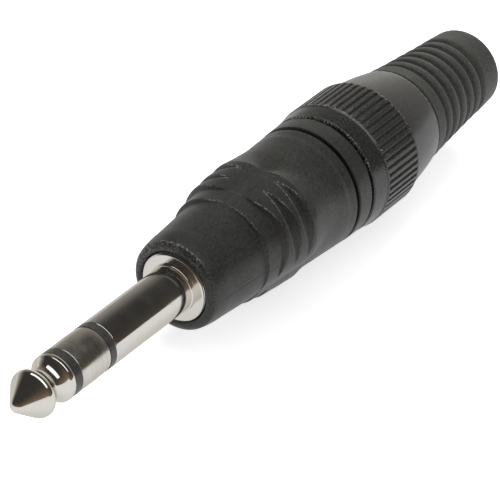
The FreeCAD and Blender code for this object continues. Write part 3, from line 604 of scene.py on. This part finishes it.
tree.links.new(maths(tree, "ADD", seen, glow), shader.inputs["Emission Strength"])
paint = blended(tree, glossy_ray, (0.86, 0.86, 0.86), (0.22, 0.22, 0.22))
tree.links.new(paint, shader.inputs["Base Color"])
floor_mesh.materials.append(floor_white)

# Light: a soft key from behind, a fill on the right and a front lamp on the left give the form. One
# long overhead panel is the only lamp that shows in the metal and along the edges.
CENTRE = Vector((0.0, 0.0, AXIS * MM))


def lamp(name, place, size, power, mirrored):
    """A lamp at a place from the plug's middle, in metres, turned towards it; size is along X, Y."""
    data = bpy.data.lights.new(name, "AREA")
    data.shape = "RECTANGLE"
    data.size, data.size_y = size
    data.energy = power
    obj = bpy.data.objects.new(name, data)
    obj.location = CENTRE + Vector(place)
    obj.rotation_mode = "QUATERNION"
    obj.rotation_quaternion = Vector((0, 0, -1)).rotation_difference(-Vector(place))
    obj.visible_glossy = mirrored
    bpy.context.scene.collection.objects.link(obj)


lamp("key", (-0.62, -0.20, 0.45), (0.35, 0.35), 6.0, False)
lamp("fill", (-0.30, 0.60, 0.30), (0.5, 0.5), 0.75, False)
lamp("front", (0.45, -0.55, 0.25), (0.4, 0.4), 1.4, False)
lamp("overhead", (-0.03, 0.15, 0.75), (0.34, 1.40), 2.6, True)

# Room: white behind the floor to the camera, dim to the metal, with pale windows behind and low on
# the left, and a brown wall low on the right.
AMBIENT = 0.16                  # the soft light from all round
DIM = 0.038                     # what is mirrored where there is neither window nor wall
PALE_TINT, WALL_TINT = (1.0, 0.95, 0.88), (1.0, 0.66, 0.40)
world = bpy.data.worlds.new("studio")
world.use_nodes = True
bpy.context.scene.world = world
tree = world.node_tree
plain = tree.nodes["Background"]
plain.inputs["Color"].default_value = (1, 1, 1, 1)
path = tree.nodes.new("ShaderNodeLightPath")
strength = maths(tree, "MAXIMUM", path.outputs["Is Camera Ray"], AMBIENT)
tree.links.new(strength, plain.inputs["Strength"])
split = tree.nodes.new("ShaderNodeSeparateXYZ")
tree.links.new(tree.nodes.new("ShaderNodeTexCoord").outputs["Generated"], split.inputs["Vector"])
x, y = split.outputs["X"], split.outputs["Y"]
low = maths(tree, "SUBTRACT", 1.0, maths(tree, "MAXIMUM", split.outputs["Z"], 0.0))
flat = maths(tree, "SQRT", maths(tree, "MULTIPLY_ADD", x, x, maths(tree, "MULTIPLY", y, y)))
left = maths(tree, "DIVIDE", maths(tree, "MULTIPLY", maths(tree, "ADD", x, y), -0.7071), flat)
window = maths(tree, "MULTIPLY", maths(tree, "POWER", maths(tree, "MAXIMUM", left, 0.0), 10.0),
               maths(tree, "POWER", low, 1.5))
behind = maths(tree, "MULTIPLY", ranged(tree, x, -0.73, -0.80, 0.0, 0.50),
               maths(tree, "SUBTRACT", 1.0, y))
beside = maths(tree, "MULTIPLY", ranged(tree, y, -0.80, -0.93, 0.0, 0.9),
               maths(tree, "POWER", low, 4.0))
pale = maths(tree, "ADD", maths(tree, "MULTIPLY_ADD", window, 0.40, DIM),
             maths(tree, "ADD", behind, beside))
right = maths(tree, "MULTIPLY_ADD", x, 0.6, maths(tree, "MULTIPLY", y, 0.8))
facing = maths(tree, "MAXIMUM", right, 0.0)
wall = maths(tree, "MULTIPLY", maths(tree, "MULTIPLY", facing, maths(tree, "POWER", low, 2.0)), 0.20)
room_colour = tree.nodes.new("ShaderNodeCombineColor")
for socket, of_pale, of_wall in zip(room_colour.inputs, PALE_TINT, WALL_TINT):
    tint = maths(tree, "MULTIPLY_ADD", wall, of_wall, maths(tree, "MULTIPLY", pale, of_pale))
    tree.links.new(tint, socket)
room = tree.nodes.new("ShaderNodeBackground")
tree.links.new(room_colour.outputs["Color"], room.inputs["Color"])
both = tree.nodes.new("ShaderNodeMixShader")
tree.links.new(path.outputs["Is Glossy Ray"], both.inputs["Fac"])
tree.links.new(plain.outputs["Background"], both.inputs[1])
tree.links.new(room.outputs["Background"], both.inputs[2])
tree.links.new(both.outputs["Shader"], tree.nodes["World Output"].inputs["Surface"])

# Camera: a long lens from in front and above, at the place fitted to the plug's outline and to the
# rings on its axis.
camera_data = bpy.data.cameras.new("camera")
camera_data.lens = 216.0
camera_data.sensor_width = 36.0
camera_data.clip_start, camera_data.clip_end = 0.01, 20.0
camera = bpy.data.objects.new("camera", camera_data)
camera.matrix_world = Matrix((
    (-0.566544, -0.434467, 0.70019, 0.2720056),
    (0.82302, -0.340436, 0.454689, 0.1752648),
    (0.040822, 0.833872, 0.550446, 0.2179224),
    (0, 0, 0, 1)))
bpy.context.scene.collection.objects.link(camera)
bpy.context.scene.camera = camera
bpy.context.scene.view_settings.view_transform = "Standard"
